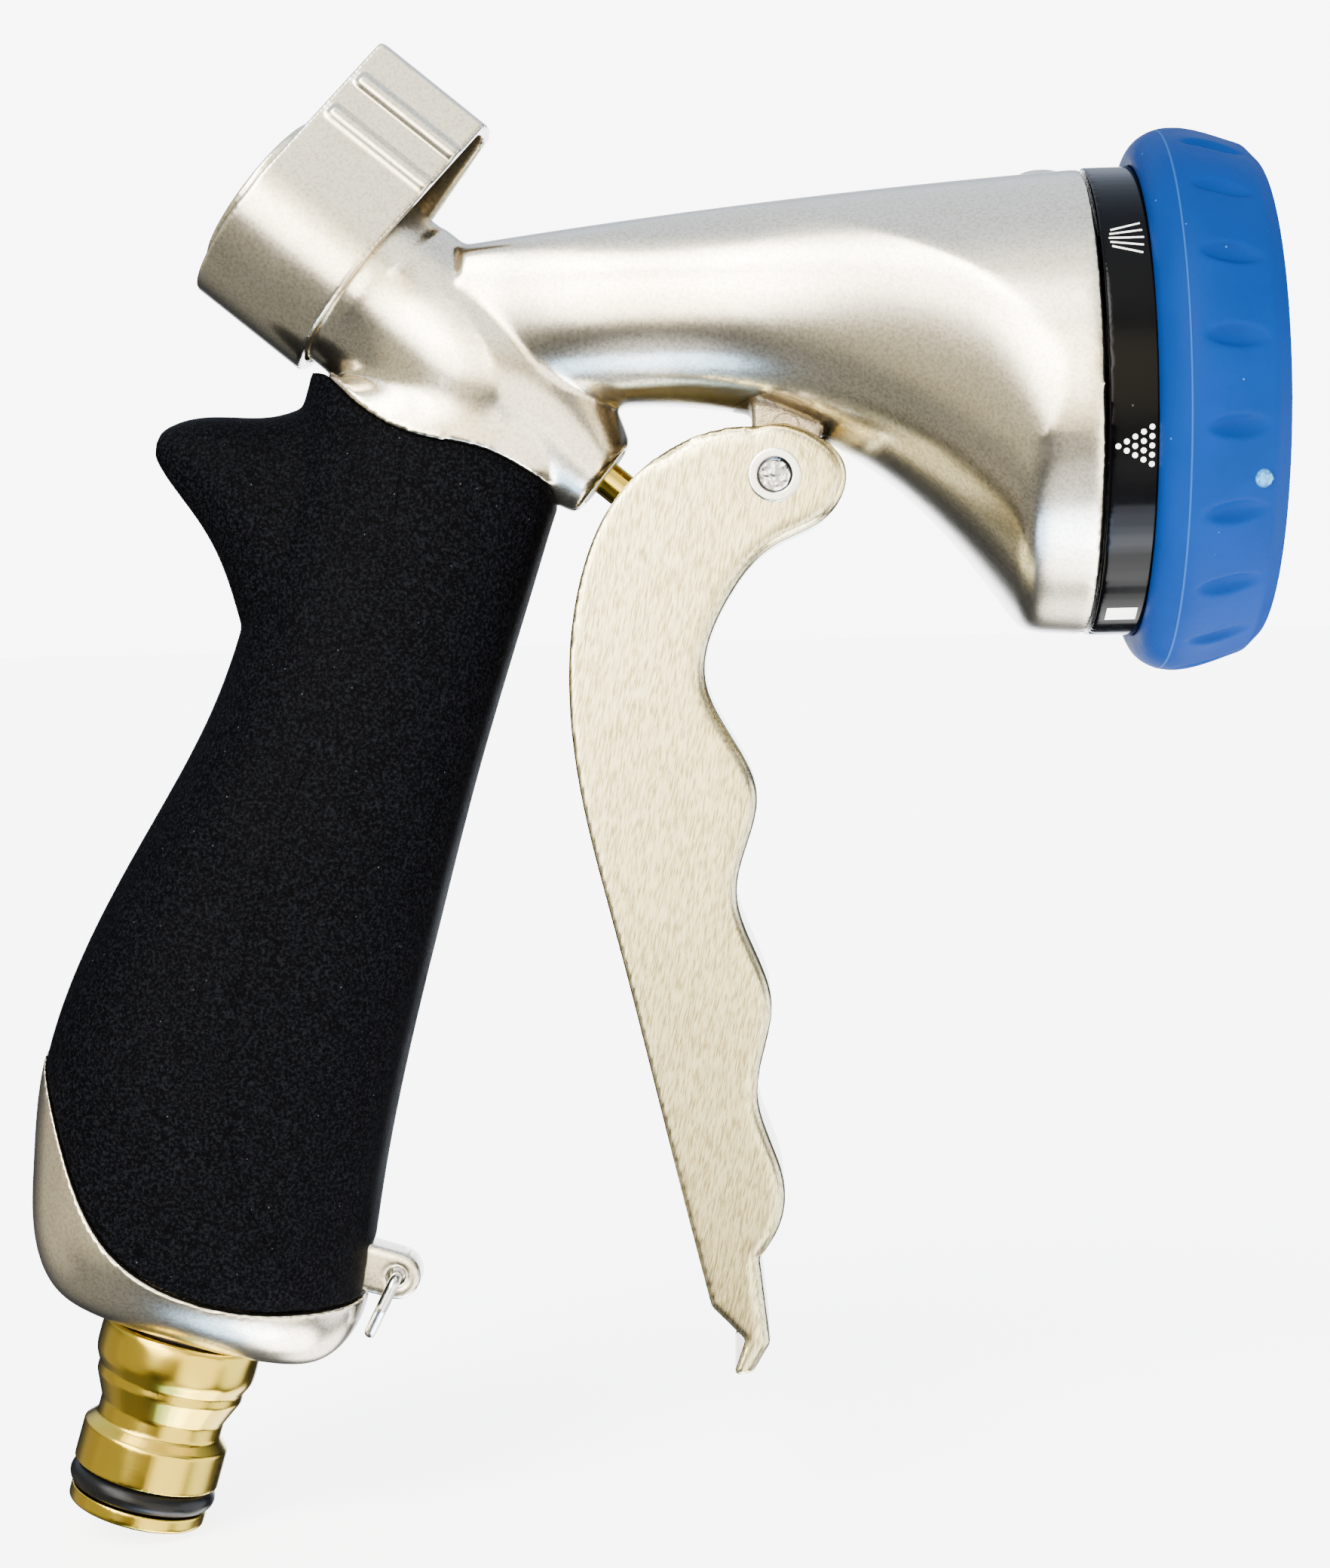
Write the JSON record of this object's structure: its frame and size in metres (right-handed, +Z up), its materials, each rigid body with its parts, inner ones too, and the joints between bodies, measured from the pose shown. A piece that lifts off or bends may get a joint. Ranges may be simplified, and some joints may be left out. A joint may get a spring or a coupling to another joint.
{
  "type": "hose spray nozzle",
  "caption": "Front-trigger hose spray nozzle: leaning rubber grip, flared head with a turning pattern dial, flow knob behind the neck and a click-type hose plug.",
  "frame": {"origin": "centre of the hose plug's collar, on the handle's axis, where a hose connector grips it", "axes": "+X is the spray direction along the dial's axis, +Z is up, Y = 0 is the plane of symmetry; the hose plug points down along the handle, which leans 17 degrees"},
  "size_m": [0.14, 0.0602, 0.1679],
  "materials": {
    "satin_metal": "satin champagne-nickel plated die casting",
    "brushed_metal": "brushed along the lever, satin nickel",
    "bright_steel": "bright",
    "brass": "machined",
    "black_rubber": "fine-grained matt",
    "seal_rubber": "smooth",
    "blue_rubber": "soft-touch matt",
    "white_nylon": "matt",
    "black_plastic": "matt",
    "black_gloss": "glossy with printed white icons"
  },
  "bodies": {
    "body": {"body_casting": "satin_metal", "grip_sleeve": "black_rubber", "base_cap": "satin_metal", "base_seal": "seal_rubber", "hose_plug": "brass", "plug_o_ring": "seal_rubber", "plug_washer": "seal_rubber", "valve_seat": "brass", "gland_bushes": "white_nylon", "stem_o_ring": "seal_rubber", "valve_spring": "bright_steel", "neck_nut": "brass", "neck_seal": "seal_rubber", "spindle_o_ring": "seal_rubber", "port_plate": "black_plastic", "plate_o_ring": "seal_rubber", "plate_screws": "bright_steel", "port_seal": "seal_rubber", "port_spring": "bright_steel", "detent_ball": "bright_steel", "detent_spring": "bright_steel", "drum_washer": "bright_steel", "center_screw": "bright_steel"},
    "trigger": {"trigger_lever": "brushed_metal", "pivot_rivet": "bright_steel"},
    "stem": {"valve_stem": "brass", "poppet": "brass", "poppet_washer": "seal_rubber", "stem_clip": "bright_steel"},
    "knob": {"flow_knob": "satin_metal", "knob_pad": "satin_metal", "flow_spindle": "brass", "knob_screw": "bright_steel"},
    "dial": {"pattern_drum": "black_gloss", "grip_ring": "blue_rubber", "face_plate": "black_gloss", "center_cap": "satin_metal"},
    "bail": {"wire_bail": "bright_steel"}
  },
  "joints": [
    {"name": "trigger_pull", "type": "hinge", "parent": "body", "child": "trigger", "pos_m": [0.07408, 0, 0.10952], "axis": [0, 1, 0], "range_deg": [0, 15.5], "stiffness_Nm_per_rad": 0.6, "springref_deg": -14.32},
    {"name": "stem_slide", "type": "slide", "parent": "body", "child": "stem", "axis": [-0.766, 0, 0.6428], "range_m": [0, 0.0033], "deforming": ["valve_spring"]},
    {"name": "knob_turn", "type": "hinge", "parent": "body", "child": "knob", "pos_m": [0.04198, 0, 0.12122], "axis": [0.766, 0, -0.6428], "range_deg": [-90, 90]},
    {"name": "dial_spin", "type": "hinge", "parent": "body", "child": "dial", "pos_m": [0.04198, 0, 0.11702], "axis": [1, 0, 0], "continuous": true},
    {"name": "bail_swing", "type": "hinge", "parent": "body", "child": "bail", "pos_m": [0.02917, 0, 0.02015], "axis": [0, 1, 0], "range_deg": [-140, 0]}
  ],
  "couplings": [
    {"joint": "stem_slide", "follows": "trigger_pull", "m_per_rad": 0.01167}
  ]
}
